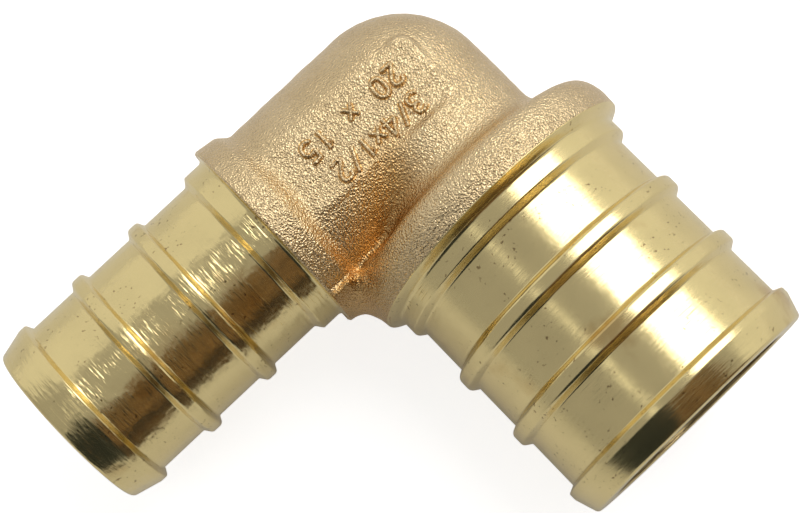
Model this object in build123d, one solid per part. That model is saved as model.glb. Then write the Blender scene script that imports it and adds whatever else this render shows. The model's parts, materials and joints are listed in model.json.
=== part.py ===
from build123d import *
from math import radians, tan
import os

# Brass reducing elbow for plastic pipe held by crimp rings: one hot forging whose two ends are
# turned to ribbed barbs and drilled through.
#
# Lengths are in millimetres and angles in degrees. The two bore axes cross at the origin. The
# small barb points along +X, the large barb along +Y, and z = 0 is the plane in which the two
# halves of the forging die met.

# Ribs: their crests set the pipe sizes, and the rest of the fitting is measured from them
small_crest_radius = 6.28    # for pipe of 12.3 bore
large_crest_radius = 8.8     # for pipe of 17.3 bore
small_rib_height = 0.48
large_rib_height = 0.54
rib_pitch = 4.6
rib_count = 2
rib_crest_width = 0.66
rib_ramp = 0.42              # length of each sloping side of a rib

# Forged body: a round barrel along each axis, and a ball where they meet
barrel_radius = small_crest_radius
barrel_draft = 0.3           # each barrel narrows this little towards its collar

# Flats on the crown of the body, on both sides, for the size marks
flat_depth = 0.43            # of each flat under the crown
flat_width = 5.3
flat_shift = 0.15            # the flats sit this much nearer to the large barb
flat_back = 2.95             # reach of the flats behind the large barb's axis
flat_corner_radius = 0.9
flat_edge_radius = 0.6

# Machined stops, against which the pipe ends. What lies beside a stop is measured from it.
small_stop = 11.1
large_stop = 9.42
small_stop_height = 0.72     # rise of the stop over the barb's crest
large_stop_height = 0.88
small_stop_bevel = 0.15      # axial length of the stop's sloping face
large_stop_bevel = 0.45
stop_root_radius = 0.35

# Forged collars: each rises from its barrel, turns over a shoulder and ends at its stop
small_collar_length = 2.15   # from the stop back to where the back face would meet the barrel
small_collar_lean = 45.0     # slope of the back face
small_collar_rise = 7.0      # slope of the rim towards the stop
small_shoulder_share = 0.65  # shoulder radius as a share of the collar's height over its barrel
large_collar_length = 4.37
large_collar_lean = 84.0
large_collar_rise = 0.0
large_shoulder_share = 0.757
collar_root_radius = 0.85

# Barbs, measured from the stop
small_land = 1.4             # length of the full-size land beside the stop
large_land = 1.03
small_first_rib = 5.75       # to the middle of the rib
large_first_rib = 5.35

# Pipe ends: an end collar at full size, then a long lead-in and a rounded nose
small_barb_length = 16.85    # from the stop to the end face
large_barb_length = 16.38
small_lead = 2.3             # from the start of the end collar's crest to the end face
large_lead = 1.85
small_end_ramp = 0.15        # the small barb's end collar has an almost square back
large_end_ramp = 0.5
end_crest_width = 0.45
small_nose_drop = 0.56       # fall of the lead-in from the crest to the end face
large_nose_drop = 0.55
nose_rounding = 0.3

# Bores: the small bore runs on past the crossing, the large one ends inside its collar
small_wall = 1.35            # under the neck between the ribs
large_wall = 1.51
large_bore_depth = 19.0      # full-size depth from the end
passage_overrun = 2.0        # how far each drill passes the other axis before its point starts
drill_point_angle = 118.0


def barrel_at(distance):
    """Radius of a barrel at this distance from the crossing."""
    return barrel_radius - distance * tan(radians(barrel_draft))


def rib_points(centre, neck, crest):
    """Section of one rib: up a ramp, along the crest and down again."""
    half = rib_crest_width / 2
    return [
        (centre - half - rib_ramp, neck),
        (centre - half, crest),
        (centre + half, crest),
        (centre + half + rib_ramp, neck),
    ]


def turned_end(stop, stop_height, bevel, collar_length, lean, rise, shoulder_share, crest,
               rib_height, land, first_rib, barb_length, lead, end_ramp, nose_drop):
    """Collar and barb of one end, revolved about the X axis from a single outline."""
    root = stop - collar_length
    end = stop + barb_length
    collar = crest + stop_height
    neck = crest - rib_height
    nose = crest - nose_drop
    back_foot = (root, barrel_at(root))
    rim_drop = tan(radians(rise))
    bevelled = stop - bevel
    # the back face runs up at its lean until it meets the line of the rim
    steep = tan(radians(lean))
    shoulder_x = (collar - rim_drop * bevelled - back_foot[1] + steep * root) / (steep - rim_drop)
    shoulder_top = (shoulder_x, back_foot[1] + steep * (shoulder_x - root))
    shoulder = shoulder_share * (collar - back_foot[1])
    start = root - 2 * collar_root_radius
    foot_of_stop = (stop, crest)

    outline = [(start, 0), (start, barrel_at(start)), back_foot, shoulder_top,
               (bevelled, collar), foot_of_stop,
               (stop + land, crest), (stop + land + rib_ramp, neck)]
    for index in range(rib_count):
        outline += rib_points(stop + first_rib + index * rib_pitch, neck, crest)
    end_collar = end - lead
    outline += [(end_collar - end_ramp, neck), (end_collar, crest),
                (end_collar + end_crest_width, crest), (end, nose), (end, 0)]

    section = make_face(Polyline(*outline, close=True))
    rounded = [
        (back_foot, collar_root_radius),
        (shoulder_top, shoulder),
        (foot_of_stop, stop_root_radius),
        ((end, nose), nose_rounding),
    ]
    for (x, y), radius in rounded:
        corner = section.vertices().sort_by_distance((x, y, 0))[0]
        section = fillet(corner, radius)
    return revolve(section, Axis.X)


def bore(radius, deep_end, mouth):
    """A drilled hole along X: a cylinder with the cone of the drill's point at its deep end."""
    point = radius / tan(radians(drill_point_angle / 2))
    beyond = mouth + 1
    outline = [(deep_end - point, 0), (deep_end, radius), (beyond, radius), (beyond, 0)]
    return revolve(make_face(Polyline(*outline, close=True)), Axis.X)


def along_y(shape):
    """The same shape with its axis turned from +X to +Y."""
    return Rot(0, 0, 90) * shape


def barrel(length):
    """Tapered barrel along X from the crossing."""
    outline = [(0, 0), (0, barrel_radius), (length, barrel_at(length)), (length, 0)]
    return revolve(make_face(Polyline(*outline, close=True)), Axis.X)


# Forged core: two barrels and the ball, with the flats let into the crown
small_root = small_stop - small_collar_length
large_root = large_stop - large_collar_length
flat_height = barrel_radius - flat_depth
core = Sphere(barrel_radius) + barrel(small_root) + along_y(barrel(large_root))

flat_outline = Pos((small_root - flat_back) / 2, flat_shift) * RectangleRounded(
    flat_back + small_root, flat_width, flat_corner_radius)
crown = extrude(Pos(0, 0, flat_height) * flat_outline, barrel_radius)
core -= crown
core -= mirror(crown, about=Plane.XY)
pad = extrude(flat_outline, flat_height, both=True)
pad = fillet(pad.faces().sort_by(Axis.Z)[-1].edges(), flat_edge_radius)
pad = fillet(pad.faces().sort_by(Axis.Z)[0].edges(), flat_edge_radius)
core += pad

# Collars and barbs. Each is turned so that its seam lies outside the elbow's bend.
small_end_solid = Rot(180, 0, 0) * turned_end(
    small_stop, small_stop_height, small_stop_bevel, small_collar_length, small_collar_lean,
    small_collar_rise, small_shoulder_share, small_crest_radius, small_rib_height, small_land,
    small_first_rib, small_barb_length, small_lead, small_end_ramp, small_nose_drop)
large_end_solid = along_y(turned_end(
    large_stop, large_stop_height, large_stop_bevel, large_collar_length, large_collar_lean,
    large_collar_rise, large_shoulder_share, large_crest_radius, large_rib_height, large_land,
    large_first_rib, large_barb_length, large_lead, large_end_ramp, large_nose_drop))
elbow = core + small_end_solid + large_end_solid

# Waterway
small_end = small_stop + small_barb_length
large_end = large_stop + large_barb_length
small_bore_radius = small_crest_radius - small_rib_height - small_wall
large_bore_radius = large_crest_radius - large_rib_height - large_wall
elbow -= bore(small_bore_radius, -passage_overrun, small_end)
elbow -= along_y(bore(small_bore_radius, -passage_overrun, large_end))
elbow -= along_y(bore(large_bore_radius, large_end - large_bore_depth, large_end))

elbow = elbow.solid()
elbow.label = "reducing_elbow"

os.makedirs("parts", exist_ok=True)
export_step(elbow, "parts/reducing_elbow.step")
print(f"volume {elbow.volume:.1f} mm3, box {elbow.bounding_box().size}")
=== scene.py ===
"""Brass reducing elbow for plastic pipe held by crimp rings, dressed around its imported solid.

The frame is the fitting's own: the two bore axes cross at the origin, the small barb points along
+X, the large barb along +Y, and +Z is up. Sizes are in millimetres and become metres in a mesh.
"""

import json
from math import radians, tan

import bmesh
import bpy
import numpy as np
from mathutils import Matrix, Vector


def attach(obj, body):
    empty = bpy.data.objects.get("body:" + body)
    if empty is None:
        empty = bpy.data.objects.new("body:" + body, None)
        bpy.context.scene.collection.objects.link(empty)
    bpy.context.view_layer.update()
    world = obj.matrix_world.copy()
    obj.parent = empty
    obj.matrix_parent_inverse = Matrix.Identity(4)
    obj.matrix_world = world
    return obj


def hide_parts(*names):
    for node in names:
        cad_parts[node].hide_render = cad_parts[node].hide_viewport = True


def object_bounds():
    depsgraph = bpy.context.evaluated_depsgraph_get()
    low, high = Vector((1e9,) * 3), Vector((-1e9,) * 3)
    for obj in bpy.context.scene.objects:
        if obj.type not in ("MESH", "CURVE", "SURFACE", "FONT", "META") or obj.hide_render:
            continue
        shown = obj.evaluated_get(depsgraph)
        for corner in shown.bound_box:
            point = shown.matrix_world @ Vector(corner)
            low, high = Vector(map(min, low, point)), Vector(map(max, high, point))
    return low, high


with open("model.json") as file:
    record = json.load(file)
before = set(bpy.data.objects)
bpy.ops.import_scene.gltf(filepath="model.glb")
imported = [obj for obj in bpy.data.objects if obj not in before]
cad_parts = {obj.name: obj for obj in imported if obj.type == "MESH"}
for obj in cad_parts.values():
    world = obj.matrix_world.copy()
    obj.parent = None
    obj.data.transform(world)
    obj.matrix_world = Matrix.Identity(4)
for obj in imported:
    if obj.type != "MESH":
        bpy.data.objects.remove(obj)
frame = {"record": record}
cad_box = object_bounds()


# ---------------------------------------------------------------------------------------------
# Forged body
# The real one is a single hot brass forging: a round barrel along each axis, a ball at the
# corner, a flat on each crown and a collar behind each barb. It is shot-blasted to an even grain
# and keeps a warm tan skin. The waterway is drilled through it from both ends.

MM = 0.001
mounts = {mount["name"]: mount for mount in frame["record"]["mounts"]}

barrel_radius = 6.28
barrel_draft = 0.3            # degrees, narrowing towards the collars

flat_height = 5.82            # from the parting plane
flat_low = (-2.95, -2.5)      # corner of each flat nearest the ball
flat_high = (8.75, 2.8)       # corner nearest the small collar and the large barb
flat_corner = 0.9
flat_edge = 0.5
flat_softness = 0.7
valley_softness = 1.0         # width of the fillet where the arms run together
valley_run_in = 4.0           # how far inside the bend that fillet reaches its full width
web_softness = 2.3            # its width between the collars, where the web is thicker
web_start = 5.9               # how far along the mitre it starts to grow to that

small_collar = [(7.6, 6.24, 0), (8.8, 6.23, 0.6), (9.5, 6.82, 0.6), (10.95, 6.99, 0.12),
                (11.6, 6.2, 0)]
large_collar = [(3.0, 6.26, 0), (5.74, 6.25, 1.5), (6.46, 9.2, 1.7), (7.65, 9.69, 2.6),
                (8.98, 9.62, 0.15), (9.7, 8.3, 0)]
small_stop, large_stop = 11.1, 9.42
small_root, large_root = 10.6, 8.72           # where the turned barbs begin inside the skin
small_rim_end, large_rim_end = 11.03, 9.08    # the forged skin stops here, at the turned stop

small_bore = mounts["small_bore"]["dims"]["r_mm"]
large_bore = mounts["large_bore"]["dims"]["r_mm"]
large_bore_start = mounts["large_bore"]["pos_m"][1] / MM - mounts["large_bore"]["dims"]["length_mm"]
passage_end = -2.0            # the narrow passages are drilled this far past the crossing
wide_cone_end = 5.42          # the wide drill's cone meets the narrow passage here
drill_slope = tan(radians(59))


def rounded_outline(corners, steps=10):
    """Outline through (along, radius, rounding) corners: each corner is replaced by the circular
    arc of its rounding that touches both of its sides, cut into equal turns."""
    points = []
    for index, (along, radius, rounding) in enumerate(corners):
        here = np.array([along, radius], float)
        if rounding == 0:
            points.append(here[None])
            continue
        back = np.array(corners[index - 1][:2], float) - here
        ahead = np.array(corners[index + 1][:2], float) - here
        reach_limit = 0.48 * min(np.hypot(*back), np.hypot(*ahead))
        back, ahead = back / np.hypot(*back), ahead / np.hypot(*ahead)
        half = np.arccos(np.clip(back @ ahead, -1, 1)) / 2
        reach = min(rounding / np.tan(half), reach_limit)
        middle = (back + ahead) / np.hypot(*(back + ahead))
        centre = here + middle * reach / np.cos(half)
        first, last = here + back * reach - centre, here + ahead * reach - centre
        turn = np.arctan2(first[0] * last[1] - first[1] * last[0], first @ last)
        angles = np.linspace(0, turn, steps)
        points.append(centre + np.stack([
            first[0] * np.cos(angles) - first[1] * np.sin(angles),
            first[0] * np.sin(angles) + first[1] * np.cos(angles)], 1))
    return np.concatenate(points)


def smooth_least(a, b, width):
    """The lesser of two distances, with a rounded hand-over: least minus the square of how far
    their difference falls short of the width, over four widths."""
    short = np.clip(width - np.abs(a - b), 0, None)
    return np.minimum(a, b) - short * short / (4 * width)


def arm_profile(collar):
    """Radius of one arm by distance along it: its tapered barrel, then its collar's outline, with
    the factor that turns a radial distance into one square to the outline."""
    collar = rounded_outline(collar)
    barrel = np.linspace(-8, collar[0, 0] - 0.01, 40)
    along = np.concatenate([barrel, collar[:, 0]])
    taper = barrel_radius - np.clip(barrel, 0, None) * tan(radians(barrel_draft))
    even = np.linspace(-8, along[-1], 1500)
    level = np.interp(even, along, np.concatenate([taper, collar[:, 1]]))
    return even, level, 1 / np.hypot(1, np.gradient(level, even))


small_profile = arm_profile(small_collar)
large_profile = arm_profile(large_collar)


def arm_distance(along, across, up, profile):
    """Distance to one arm: how far the point's radius passes the profile there, shortened by the
    profile's slope. Behind the crossing it is the distance to the ball."""
    even, level, shorten = profile
    outside = np.hypot(across, up)
    arm = (outside - np.interp(along, even, level)) * np.interp(along, even, shorten)
    ball = np.sqrt(along * along + across * across + up * up) - barrel_radius
    return np.where(along > 0, arm, ball)


def forging_distance(x, y, z):
    """Distance to the forging: both arms run together inside the bend, less the crown over each
    flat, plus the rounded pad that carries the flat."""
    inside_bend = np.minimum(x, y)
    fillet = (valley_softness * np.clip(inside_bend / valley_run_in, 0.001, 1)
              + (web_softness - valley_softness) * np.clip((x + y) / 2 - web_start, 0, 1))
    body = smooth_least(arm_distance(x, y, z, small_profile),
                        arm_distance(y, x, z, large_profile), fillet)
    away_x = np.abs(x - (flat_high[0] + flat_low[0]) / 2) - (flat_high[0] - flat_low[0]) / 2
    away_y = np.abs(y - (flat_high[1] + flat_low[1]) / 2) - (flat_high[1] - flat_low[1]) / 2
    away_x, away_y = away_x + flat_corner, away_y + flat_corner
    beside = (np.hypot(np.clip(away_x, 0, None), np.clip(away_y, 0, None))
              + np.minimum(np.maximum(away_x, away_y), 0) - flat_corner)
    above = np.abs(z) - flat_height

    keep = smooth_least(-beside, above, flat_softness)
    body = -smooth_least(-body, -keep, flat_softness / 2)
    inset, lowered = beside + flat_edge, above + flat_edge
    pad = (np.hypot(np.clip(inset, 0, None), np.clip(lowered, 0, None))
           + np.minimum(np.maximum(inset, lowered), 0) - flat_edge)
    return smooth_least(body, pad, flat_softness / 8)


def waterway_distance(x, y, z):
    """Distance to the drilled waterway: a narrow passage along each axis and the wide bore of the
    large barb, each ending in the cone of its drill's point."""
    def drilled(along, beside, radius, deep_end):
        return beside - radius + np.clip(deep_end - along, 0, None) * drill_slope

    narrow = np.minimum(drilled(x, np.hypot(y, z), small_bore, passage_end),
                        drilled(y, np.hypot(x, z), small_bore, passage_end))
    return np.minimum(narrow, drilled(y, np.hypot(x, z), large_bore, large_bore_start))


def along_ray(distance, origin, direction, low, high=10.6, steps=60):
    """How far along each ray the form first ends: even steps out to the first point outside it,
    then the last step halved 24 times."""
    def inside(reach):
        return distance(*np.moveaxis(origin + direction * reach[..., None], -1, 0)) < 0

    step = (high - low) / steps
    low = np.full(origin.shape[:-1], float(low))
    going = np.ones(low.shape, bool)
    for _ in range(steps):
        going &= inside(low + step)
        low += step * going
    high = low + step
    for _ in range(24):
        middle = (low + high) / 2
        within = inside(middle)
        low, high = np.where(within, middle, low), np.where(within, high, middle)
    return (low + high) / 2


def arm_rings(distance, axis, along, turns, low):
    """Rings of one arm, rows by columns: each point is where the ray square to the axis, at the
    row's place along it and the column's turn about it, leaves the form."""
    zero = 0 * along
    axes = (0, 1, 2) if axis == 0 else (1, 0, 2)
    origin = np.stack([along, zero, zero], -1)[..., axes]
    direction = np.stack([zero, np.cos(turns) + zero, np.sin(turns) + zero], -1)[..., axes]
    return origin + direction * along_ray(distance, origin, direction, low)[..., None]


def nearer_large_arm(x, y, z):
    """Which side of the seam between the arms: the mitre plane x = y, except between the collars,
    where it is the arm whose outline lies nearer."""
    closer = arm_distance(y, x, z, large_profile) < arm_distance(x, y, z, small_profile)
    return np.where(np.minimum(x, y) < 4, x < y, closer)


def seam(distance, belongs_to_large, turns, low):
    """The seam where the skins of both arms meet, found for each turn about the small axis by
    halving the stretch of axis it can start from."""
    near, far = np.full(turns.shape, -6.0), np.full(turns.shape, 10.6)
    for _ in range(30):
        middle = (near + far) / 2
        point = arm_rings(distance, 0, middle, turns, low)
        large = belongs_to_large(*np.moveaxis(point, -1, 0))
        near, far = np.where(large, middle, near), np.where(large, far, middle)
    return arm_rings(distance, 0, far, turns, low)


def rows_along(profile, start, end, rows):
    """Places along an arm, rows by columns: equal shares of its outline's length from the seam to
    the rim, so that the steep shoulders get as many rows as they need."""
    even, level, _ = profile
    length = np.concatenate([[0], np.cumsum(np.hypot(np.diff(even), np.diff(level)))])
    first, last = np.interp(start, even, length), np.interp(end, even, length)
    return np.interp(first + np.linspace(0, 1, rows)[:, None] * (last - first), length, even)


def wave_noise(points, size, seed, terms=30):
    """Even, shapeless unevenness: a sum of sine waves of random direction and phase whose length
    is about the given size, scaled to a spread of one."""
    random = np.random.default_rng(seed)
    directions = random.normal(size=(terms, 3))
    directions /= np.linalg.norm(directions, axis=1)[:, None]
    rates = 2 * np.pi / (size * random.uniform(0.75, 1.45, terms))
    phases = random.uniform(0, 2 * np.pi, terms)
    total = np.zeros(points.shape[:-1])
    for direction, rate, phase in zip(directions, rates, phases):
        total += np.sin(points @ direction * rate + phase)
    return total / np.sqrt(terms / 2)


def mesh_piece(name, points, faces, sharp=35, **marks):
    """A piece from points in millimetres and faces: every face turned outwards, edges sharp over
    the given degrees, and each mark kept as one number per point."""
    mesh = bpy.data.meshes.new(name)
    mesh.from_pydata((np.asarray(points, float) * MM).tolist(), [], faces)
    for mark, values in marks.items():
        mesh.attributes.new(mark, "FLOAT", "POINT").data.foreach_set("value", values)
    work = bmesh.new()
    work.from_mesh(mesh)
    bmesh.ops.recalc_face_normals(work, faces=work.faces)
    work.to_mesh(mesh)
    work.free()
    mesh.shade_smooth()
    mesh.set_sharp_from_angle(angle=radians(sharp))
    piece = bpy.data.objects.new(name, mesh)
    bpy.context.scene.collection.objects.link(piece)
    return piece


def closed_rings(name, rings, **marks):
    """A piece from rings by columns that closes both ways: the last column joins the first, and
    the last ring joins the first."""
    rows, columns = rings.shape[:2]
    row, column = np.meshgrid(np.arange(rows), np.arange(columns), indexing="ij")
    below, beside = (row + 1) % rows, (column + 1) % columns
    faces = np.stack([row * columns + column, row * columns + beside,
                      below * columns + beside, below * columns + column], -1)
    return mesh_piece(name, rings.reshape(-1, 3), faces.reshape(-1, 4).tolist(), **marks)


def heal(grid, distance, wrong, margin=6, rounds=1500, settling=16, last_rounds=5):
    """Points in the pocket between the collars that a ray from an axis can't reach, and the margin
    of rows and columns round them. Each becomes the mean of its four neighbours over and over, then
    steps back to the form, at most a short step at a time: distance over slope, down the slope."""
    nudge, longest_step, least_slope = 0.01, 0.08, 0.3
    for _ in range(margin):
        wrong[1:-1] = (wrong[1:-1] | wrong[2:] | wrong[:-2]
                       | np.roll(wrong, 1, 1)[1:-1] | np.roll(wrong, -1, 1)[1:-1])
    wrong[[0, -1]] = False
    row, column = np.nonzero(wrong)
    left, right = (column - 1) % grid.shape[1], (column + 1) % grid.shape[1]

    def even_out(share):
        mean = (grid[row - 1, column] + grid[row + 1, column]
                + grid[row, left] + grid[row, right]) / 4
        grid[row, column] += share * (mean - grid[row, column])

    for _ in range(rounds):
        even_out(1.0)
    for _ in range(settling):
        point = grid[row, column]
        slope = np.stack([distance(*(point + aside).T) - distance(*(point - aside).T)
                          for aside in np.eye(3) * nudge], -1) / (2 * nudge)
        depth = np.clip(distance(*point.T), -longest_step, longest_step)
        squared = np.maximum((slope ** 2).sum(-1), least_slope)
        grid[row, column] -= (depth / squared)[:, None] * slope
        even_out(0.5)
    for _ in range(last_rounds):
        even_out(0.5)


columns, small_rows, large_rows = 384, 90, 106
inside_skin, inside_bore = 3.0, 0.2           # where the rays start, from the axis
small_round, large_round = 7.0, 9.7           # columns are even round collars of these radii

# more columns where the seam runs steeply, so that its cells stay even
trial = np.linspace(0, 2 * np.pi, 1440)
trial_seam = seam(forging_distance, nearer_large_arm, trial, inside_skin)
trial_large = np.unwrap(np.arctan2(trial_seam[:, 2], trial_seam[:, 0]))
stretch = np.cumsum(np.linalg.norm(np.diff(trial_seam, axis=0, prepend=trial_seam[:1]), axis=1))
spread = small_round * trial + large_round * trial_large + stretch
turns = np.interp(np.linspace(spread[0], spread[-1], columns, endpoint=False), spread, trial)

outer_seam = seam(forging_distance, nearer_large_arm, turns, inside_skin)
outer_turns = np.arctan2(outer_seam[:, 2], outer_seam[:, 0])
small_skin = arm_rings(forging_distance, 0, rows_along(
    small_profile, outer_seam[:, 0], small_rim_end, small_rows), turns, inside_skin)
large_skin = arm_rings(forging_distance, 1, rows_along(
    large_profile, outer_seam[:, 1], large_rim_end, large_rows), outer_turns, inside_skin)

# a point is astray where its cell is too long or it lies past the seam, inside the bend, or
# where it is off the form
longest_cell, past_seam, bend_start, off_form = 0.4, 0.1, 5.0, 0.02
outer = np.concatenate([small_skin[:0:-1], outer_seam[None], large_skin[1:]])
x, y, z = np.moveaxis(outer, -1, 0)
beyond = arm_distance(x, y, z, small_profile) - arm_distance(y, x, z, large_profile)
beyond[small_rows:] *= -1
far_apart = ((np.linalg.norm(np.roll(outer, -1, 1) - outer, axis=-1) > longest_cell)
             | (np.linalg.norm(np.diff(outer, axis=0, append=outer[-1:]), axis=-1)
                > longest_cell))
astray = ((beyond > past_seam) | far_apart) & (np.minimum(x, y) > bend_start)
astray |= np.abs(forging_distance(x, y, z)) > off_form
heal(outer, forging_distance, astray)

# the blasted skin is a little uneven, except at the rims that the lathe has touched
hold = (np.clip((small_rim_end - outer[..., 0]) / 0.5, 0, 1)
        * np.clip((large_rim_end - outer[..., 1]) / 0.5, 0, 1))
unevenness = (0.008 * wave_noise(outer, 2.4, 5) + 0.005 * wave_noise(outer, 1.0, 6)
              + 0.004 * wave_noise(outer, 0.55, 7) - 0.012)
outer *= 1 + (unevenness * hold / np.linalg.norm(outer, axis=-1))[..., None]

inner_seam = seam(waterway_distance, lambda x, y, z: x < y, turns, inside_bore)
inner_turns = np.arctan2(inner_seam[:, 2], inner_seam[:, 0])
seam_x, seam_y = inner_seam[:, 0], inner_seam[:, 1]
closer = 1.4                  # the rows of the passages draw together towards the seam
to_cone = np.linspace(1, 0, 13)[:, None] ** closer * (wide_cone_end - seam_y) + seam_y
wide = np.concatenate([np.linspace(large_root, large_bore_start, 5)[:, None] + 0 * turns,
                       np.linspace(large_bore_start, wide_cone_end, 6)[1:, None] + 0 * turns,
                       to_cone[1:-1]])
wide_bore = arm_rings(waterway_distance, 1, wide, inner_turns, inside_bore)
narrow = seam_x + np.linspace(0, 1, 24)[1:, None] ** closer * (small_root - seam_x)
narrow_bore = arm_rings(waterway_distance, 0, narrow, turns, inside_bore)
inner = np.concatenate([wide_bore, inner_seam[None], narrow_bore])

# marks for the surface: where it is drilled, and painted shade that grows with how deep in the bend
# between the arms it lies
x, y, z = np.moveaxis(outer, -1, 0)
apart = np.maximum(np.abs(arm_distance(x, y, z, small_profile)),
                   np.abs(arm_distance(y, x, z, large_profile)))
# painted shade: strongest deep in the bend between the arms
hollow = np.exp(-(apart / 2.1) ** 2) * np.clip((np.minimum(x, y) - 1.0) / 2.5, 0, 1)
blank = np.zeros(inner[..., 0].size)
forging = closed_rings("forged_body", np.concatenate([outer, inner]),
                       drilled=np.concatenate([np.zeros(hollow.size), blank + 1]),
                       hollow=np.concatenate([hollow.ravel(), blank]))


class Value:
    """A shader socket with arithmetic: an expression on values adds its Math nodes."""

    def __init__(self, shader, socket):
        self.shader, self.socket = shader, socket

    def _math(self, operation, *inputs):
        return self.shader.node("ShaderNodeMath", {"operation": operation}, dict(enumerate(inputs)))

    def __add__(self, other):
        return self._math("ADD", self, other)

    def __sub__(self, other):
        return self._math("SUBTRACT", self, other)

    def __rsub__(self, other):
        return self._math("SUBTRACT", other, self)

    def __mul__(self, other):
        return self._math("MULTIPLY", self, other)

    __radd__, __rmul__ = __add__, __mul__

    def step(self, low, high):
        """A smooth step from 0 at low to 1 at high."""
        return self.shader.node("ShaderNodeMapRange", {"interpolation_type": "SMOOTHSTEP"},
                                {"Value": self, "From Min": low, "From Max": high})


class Shader:
    """One material's node tree. node() makes any node: its type, its settings, its inputs by name
    or place, and which output to read."""

    def __init__(self, name):
        self.material = bpy.data.materials.new(name)
        self.material.use_nodes = True
        self.tree = self.material.node_tree
        self.tree.nodes.clear()

    def node(self, kind, settings={}, inputs={}, output=0):
        made = self.tree.nodes.new(kind)
        for key, value in settings.items():
            setattr(made, key, value)
        for key, value in inputs.items():
            if isinstance(value, Value):
                self.tree.links.new(value.socket, made.inputs[key])
            else:
                made.inputs[key].default_value = value
        return Value(self, made.outputs[output] if made.outputs else None)

    def mix(self, share, first, second):
        """A colour between two colours, by a share."""
        colours = [(*c, 1) if isinstance(c, tuple) else c for c in (first, second)]
        return self.node("ShaderNodeMix", {"data_type": "RGBA"},
                         {0: share, 6: colours[0], 7: colours[1]}, 2)

    def mark(self, name):
        """A number that the mesh keeps for each point."""
        return self.node("ShaderNodeAttribute", {"attribute_name": name}, output=2)

    def noise(self, place, scale, detail=2.0):
        return self.node("ShaderNodeTexNoise", {},
                         {"Vector": place, "Scale": scale, "Detail": detail})

    def finish(self, surface):
        self.node("ShaderNodeOutputMaterial", {}, {"Surface": surface})
        return self.material


def forged_brass():
    """Shot-blasted skin: small dents that glint and warm tan, with painted shade, darker and
    redder, deep in the bend and at the feet of the numerals. Where the mark says drilled, it is the
    smooth wall of the waterway, painted darker as painted shade."""
    shader = Shader("forged_brass")
    place = shader.node("ShaderNodeTexCoord", output=3)
    drilled, hollow = shader.mark("drilled"), shader.mark("hollow")
    dents = shader.node("ShaderNodeTexVoronoi", {"feature": "SMOOTH_F1"},
                        {"Vector": place, "Scale": 7400.0, "Smoothness": 0.35})
    grit = shader.noise(place, 10500.0, 1.0)
    patch = shader.noise(place, 300.0, 3.0)
    relief = (dents * 0.8 + grit * 0.9) * (1 - drilled)
    normal = shader.node("ShaderNodeBump", {}, {
        "Height": relief, "Strength": 1.0, "Distance": 0.000072})
    skin = shader.mix(patch.step(0.35, 0.7), (0.76, 0.575, 0.325), (0.83, 0.64, 0.375))
    skin = shader.mix(dents.step(0.1, 0.4), (0.66, 0.47, 0.25), skin)
    # painted shade: darker and redder deep in the bend between the arms and at the feet of the
    # numerals
    skin = shader.mix(hollow, skin, (0.70, 0.43, 0.165))
    # painted shade: the drilled walls of the waterway are painted darker
    colour = shader.mix(drilled, skin, (0.46, 0.35, 0.18))
    surface = shader.node("ShaderNodeBsdfPrincipled", {}, {
        "Base Color": colour, "Metallic": 1.0, "Roughness": 0.19 + grit * 0.12, "Normal": normal})
    return shader.finish(surface)


forging_material = forged_brass()
forging.data.materials.append(forging_material)
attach(forging, "root")
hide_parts("reducing_elbow")


# ---------------------------------------------------------------------------------------------
# Size numerals
# Raised from the die in two rows on the upper flat: thin round-topped strokes that stand a fifth
# of a millimetre proud of the blasted skin.

numeral_height = 1.32
stroke_width, stroke_rise = 0.26, 0.2

glyph_strokes = {
    "0": [[(0.31, 1), (0.08, 0.9), (0, 0.5), (0.08, 0.1), (0.31, 0), (0.54, 0.1), (0.62, 0.5),
           (0.54, 0.9), (0.31, 1)]],
    "1": [[(0.1, 0.78), (0.32, 1), (0.32, 0)]],
    "2": [[(0.03, 0.76), (0.1, 0.96), (0.31, 1.02), (0.54, 0.94), (0.58, 0.72), (0.44, 0.48),
           (0.02, 0.01)], [(0.02, 0), (0.62, 0)]],
    "3": [[(0.03, 0.86), (0.18, 1.0), (0.44, 0.99), (0.57, 0.8), (0.48, 0.58), (0.25, 0.53)],
          [(0.25, 0.53), (0.52, 0.5), (0.63, 0.28), (0.5, 0.04), (0.2, -0.02), (0.01, 0.13)]],
    "4": [[(0.47, 0), (0.47, 1)], [(0.47, 1), (0, 0.3)], [(0, 0.3), (0.64, 0.3)]],
    "5": [[(0.56, 1), (0.1, 1)], [(0.1, 1), (0.06, 0.55)],
          [(0.06, 0.55), (0.32, 0.66), (0.58, 0.52), (0.6, 0.2), (0.4, -0.01), (0.15, 0),
           (0.01, 0.12)]],
    "x": [[(0.05, 0.08), (0.55, 0.72)], [(0.05, 0.72), (0.55, 0.08)]],
    "/": [[(0.06, -0.04), (0.54, 1.04)]],
}


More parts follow.
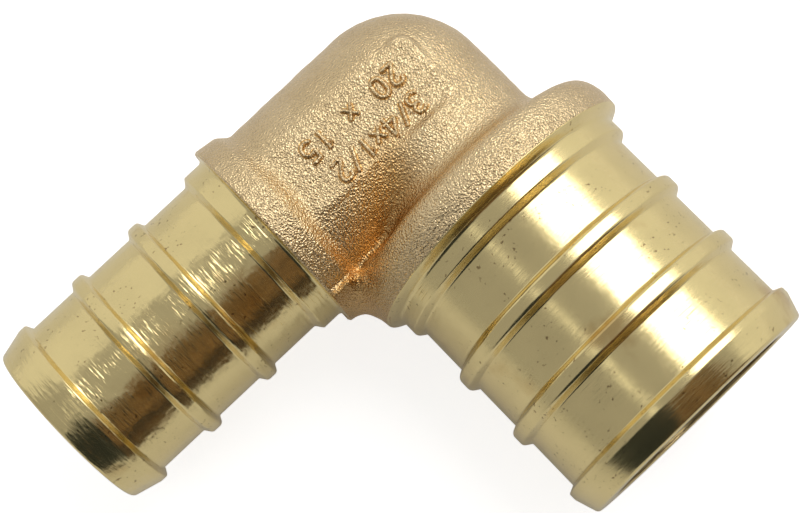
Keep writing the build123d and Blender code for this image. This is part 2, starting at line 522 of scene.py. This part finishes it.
def stroke_ridge(path):
    """Points, faces and painted-shade marks of one raised stroke: a half-round section on a thin
    wide foot, carried along the path with its corners cut twice at a quarter of each side. The
    marks paint shade at the foot of the stroke."""
    for _ in range(2 if len(path) > 3 else 0):
        cut = np.stack([0.75 * path[:-1] + 0.25 * path[1:], 0.25 * path[:-1] + 0.75 * path[1:]], 1)
        path = np.concatenate([path[:1], cut.reshape(-1, 2), path[-1:]])
    ahead = np.gradient(path, axis=0)
    ahead /= np.linalg.norm(ahead, axis=1)[:, None]
    path = np.concatenate([path[:1] - ahead[:1] * 0.06, path, path[-1:] + ahead[-1:] * 0.06])
    ahead = np.concatenate([ahead[:1], ahead, ahead[-1:]])
    full = np.ones(len(path))
    full[0] = full[-1] = 0.35
    angles = np.linspace(0, np.pi, 9)
    beside = np.concatenate([[1.6], np.cos(angles), [-1.6, -1.6, 1.6]]) * stroke_width / 2
    rise = np.concatenate([[0.01], 0.02 + np.sin(angles) * stroke_rise, [0.01, -0.12, -0.12]])
    side = np.stack([-ahead[:, 1], ahead[:, 0]], 1)
    flat = path[:, None] + side[:, None] * (beside * full[:, None])[..., None]
    height = flat_height + np.where(rise > 0, rise * full[:, None], rise)
    points = np.concatenate([flat, height[..., None]], -1)
    rows, around = points.shape[:2]
    row, place = np.meshgrid(np.arange(rows - 1), np.arange(around), indexing="ij")
    beside_place = (place + 1) % around
    faces = np.stack([row * around + place, row * around + beside_place,
                      (row + 1) * around + beside_place, (row + 1) * around + place], -1)
    ends = [list(range(around)), list(range((rows - 1) * around, rows * around))]
    # painted shade at the foot and sides of the stroke, where it meets the flat
    hollow = np.clip(1.3 - height / 0.1 + flat_height / 0.1, 0, 1)
    return points.reshape(-1, 3), faces.reshape(-1, 4).tolist() + ends, hollow.ravel()


numeral_points, numeral_faces, numeral_hollow = [], [], []
for text, left, foot, pitch in (("3/4x1/2", -0.75, 0.85, 0.98), ("20 x 15", -0.95, -1.3, 1.12)):
    for index, glyph in enumerate(text):
        for stroke in glyph_strokes.get(glyph, []):
            start = np.array([left + index * pitch, foot])
            points, faces, hollow = stroke_ridge(start + np.array(stroke, float) * numeral_height)
            offset = sum(len(made) for made in numeral_points)
            numeral_points.append(points)
            numeral_hollow.append(hollow)
            numeral_faces += [[corner + offset for corner in face] for face in faces]
numerals = mesh_piece("size_numerals", np.concatenate(numeral_points), numeral_faces,
                      hollow=np.concatenate(numeral_hollow))
numerals.data.materials.append(forging_material)
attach(numerals, "root")
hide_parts("reducing_elbow")


# ---------------------------------------------------------------------------------------------
# Barbs
# Each is turned on the end of the forging: a square stop for the pipe, a full-size land, two ribs
# and an end collar with a long lead-in. The tool leaves fine broken lines round the barb.

rib_pitch, rib_front = 4.6, 0.34
crest_rounding, foot_rounding = 0.28, 0.15
barb_columns = 320


def barb_outline(root, stop, rim, bevel, land, neck, crest, first_rib, rib_back, rib_crest, length,
                 lead, nose, bore):
    """Closed outline of a barb: from its root up the stop's rim and down to the land, along the
    ribs, steeper on their backs than in front, and the end collar to the nose, and back along the
    bore."""
    end = stop + length
    corners = [(root, bore, 0), (root, rim - 0.25, 0), (stop - bevel - 0.02, rim + 0.015, 0.05),
               (stop, crest, 0.3), (stop + land, crest, 0.14), (stop + land + 0.36, neck, 0.2)]
    for middle in (stop + first_rib, stop + first_rib + rib_pitch):
        half = rib_crest / 2
        corners += [(middle - half - rib_back, neck, foot_rounding),
                    (middle - half, crest, crest_rounding),
                    (middle + half, crest, crest_rounding),
                    (middle + half + rib_front, neck, foot_rounding)]
    corners += [(end - lead - rib_back, neck, 0.1), (end - lead, crest, 0.12),
                (end - lead + 0.45, crest, 0.5), (end, nose, 0.3), (end, bore + 0.08, 0.03),
                (end - 0.08, bore, 0)]
    return rounded_outline(corners, 8)


def revolve(outline, axis, columns):
    """Rings by columns from an outline of (along, radius) carried round an axis."""
    turns = np.linspace(0, 2 * np.pi, columns, endpoint=False)
    along = outline[:, :1] + 0 * turns
    across, up = outline[:, 1:] * np.cos(turns), outline[:, 1:] * np.sin(turns)
    return np.stack([along, across, up] if axis == 0 else [across, along, up], -1)


def turned_brass(name, axis, streaks, tint=(0.87, 0.71, 0.35)):
    """Bright brass from the lathe: long fine lines and short broken streaks run round the axis,
    and cloudy patches between them differ a little in gloss and colour and hold small pits."""
    shader = Shader(name)
    place = shader.node("ShaderNodeTexCoord", output=3)

    def drawn(round_scale, along_scale, detail):
        """Noise drawn out round the axis."""
        scale = [round_scale] * 3
        scale[axis] = along_scale
        stretched = shader.node("ShaderNodeMapping", {}, {"Vector": place, "Scale": scale})
        return shader.noise(stretched, 1.0, detail)

    lines, broken = drawn(70.0, 7000.0, 3.0), drawn(700.0, 6500.0, 2.0)
    cloud, stain = shader.noise(place, 420.0, 3.0), shader.noise(place, 230.0, 4.0)
    pits = shader.noise(place, 3800.0, 1.0).step(0.66, 0.74) * cloud.step(0.45, 0.6)
    normal = shader.node("ShaderNodeBump", {}, {
        "Height": lines * 0.7 + broken * cloud.step(0.3, 0.55) * streaks, "Strength": 1.0,
        "Distance": 0.000012})
    colour = shader.mix(cloud.step(0.35, 0.7), tint, tuple(c * 0.94 for c in tint))
    colour = shader.mix(stain.step(0.58, 0.75), colour, (0.68, 0.49, 0.21))
    colour = shader.mix(pits, colour, (0.36, 0.25, 0.11))
    # painted shade: the drilled bore walls are painted darker
    colour = shader.mix(shader.mark("drilled"), colour, (0.40, 0.30, 0.15))
    surface = shader.node("ShaderNodeBsdfPrincipled", {}, {
        "Base Color": colour, "Metallic": 1.0, "Roughness": 0.11 + lines * 0.12 + cloud * 0.08,
        "Normal": normal})
    return shader.finish(surface)


small_outline = barb_outline(
    root=small_root, stop=small_stop, rim=6.99, bevel=0.15, land=1.4, neck=5.8,
    crest=mounts["small_barb"]["dims"]["r_mm"], first_rib=5.72, rib_back=0.25, rib_crest=0.72,
    length=16.85, lead=2.3, nose=5.8, bore=small_bore)
large_outline = barb_outline(
    root=large_root, stop=large_stop, rim=9.63, bevel=0.42, land=1.08, neck=8.28,
    crest=mounts["large_barb"]["dims"]["r_mm"], first_rib=5.38, rib_back=0.24, rib_crest=0.84,
    length=16.38, lead=1.95, nose=8.3, bore=large_bore)
for name, outline, axis, bore, streaks in (("small_barb", small_outline, 0, small_bore, 4.0),
                                           ("large_barb", large_outline, 1, large_bore, 1.3)):
    in_bore = np.repeat((outline[:, 1] < bore + 0.01).astype(float), barb_columns)
    barb = closed_rings(name, revolve(outline, axis, barb_columns), drilled=in_bore)
    barb.data.materials.append(turned_brass("turned_" + name, axis, streaks))
    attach(barb, "root")
    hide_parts("reducing_elbow")


# ---------------------------------------------------------------------------------------------
# Table, light and camera
# A plain white table in a soft white room. One soft lamp hangs over the large barb's outer side,
# a weaker strip opposite; the room beyond the large barb's end is brown, with a dark doorway.

table_white = 0.77            # glow that brings the table to white for the camera
mirrored_share = 0.1          # the metal mirrors only the table close around it, in its own shade

shader = Shader("white_table")
camera_ray, glossy_ray, transmission_ray = (
    shader.node("ShaderNodeLightPath", output=ray)
    for ray in ("Is Camera Ray", "Is Glossy Ray", "Is Transmission Ray"))
seen = camera_ray + (glossy_ray + transmission_ray) * mirrored_share
white = shader.mix(seen, (0.0, 0.0, 0.0), (table_white, table_white, table_white))
paper = shader.node("ShaderNodeBsdfPrincipled", {}, {
    "Base Color": (0.74, 0.74, 0.74, 1), "Roughness": 1.0, "Specular IOR Level": 0.0,
    "Emission Color": white, "Emission Strength": 1.0})
table_top = cad_box[0][2] / MM
reach = 900.0
table = mesh_piece("table", [(-reach, -reach, table_top), (reach, -reach, table_top),
                             (reach, reach, table_top), (-reach, reach, table_top)],
                   [(0, 1, 2, 3)])
table.data.materials.append(shader.finish(paper))


def card(name, centre, facing, width, height, colour, dark=None):
    """A flat card that lights the metal and is mirrored in it, of one colour or mottled with a
    darker one; the camera doesn't see it."""
    side = np.cross((0, 0, 1.0), facing)
    side /= np.linalg.norm(side)
    rise = np.cross(facing, side)
    rise /= np.linalg.norm(rise)
    corners = [np.array(centre) + side * a * width / 2 + rise * b * height / 2
               for a, b in ((-1, -1), (1, -1), (1, 1), (-1, 1))]
    piece = mesh_piece(name, corners, [(0, 1, 2, 3)])
    tone = Shader(name)
    glow = (*colour, 1)
    if dark:
        place = tone.node("ShaderNodeTexCoord", output=3)
        glow = tone.mix(tone.noise(place, 16.0, 5.0).step(0.42, 0.56), dark, colour)
    piece.data.materials.append(tone.finish(tone.node(
        "ShaderNodeEmission", {}, {"Color": glow, "Strength": 1.0})))
    piece.visible_camera = False
    piece.visible_shadow = False


card("room_low", (-60, 330, 55), (0, -1, 0), 400, 130, (0.10, 0.06, 0.03), (0.02, 0.02, 0.02))
card("room_high", (-60, 330, 390), (0, -1, 0), 400, 540, (0.25, 0.155, 0.08), (0.05, 0.035, 0.025))
card("doorway", (285, 275, 290), (-0.75, -0.66, 0), 420, 600, (0.025, 0.03, 0.03))
card("wall_front", (0, -330, 330), (0, 1, 0), 700, 680, (0.74, 0.74, 0.72))
card("wall_side", (-360, 0, 140), (1, 0, 0), 640, 300, (0.78, 0.78, 0.76))
card("strip", (215, 0, 370), (-0.5, 0, -0.86), 160, 40, (1.15, 1.15, 1.1))

world = bpy.data.worlds.new("studio")
bpy.context.scene.world = world
world.use_nodes = True
world.node_tree.nodes["Background"].inputs["Color"].default_value = (1, 1, 1, 1)
world.node_tree.nodes["Background"].inputs["Strength"].default_value = 0.38

lamp = bpy.data.lights.new("soft_lamp", "AREA")
lamp.shape = "RECTANGLE"
lamp.size, lamp.size_y = 0.20, 0.30
lamp.energy = 0.68
lamp_item = bpy.data.objects.new("soft_lamp", lamp)
bpy.context.scene.collection.objects.link(lamp_item)
lamp_item.location = Vector((-212, -40, 330)) * MM
lamp_item.rotation_euler = Vector((220, 48, -330)).to_track_quat("-Z", "Y").to_euler()

right = Vector((-0.7255477, 0.6837120, -0.0782198))
up = Vector((-0.6838712, -0.7036534, 0.1928524))
back = Vector((0.0768158, 0.1934159, 0.9781051))
camera_data = bpy.data.cameras.new("camera")
camera_data.sensor_width = 36
camera_data.lens = 83.8
camera_data.clip_start = 0.01
camera = bpy.data.objects.new("camera", camera_data)
bpy.context.scene.collection.objects.link(camera)
turn = Matrix((right, up, back)).transposed().to_4x4()
camera.matrix_world = Matrix.Translation(Vector((14.933, 28.404, 111.248)) * MM) @ turn
bpy.context.scene.camera = camera
bpy.context.scene.view_settings.view_transform = "Standard"
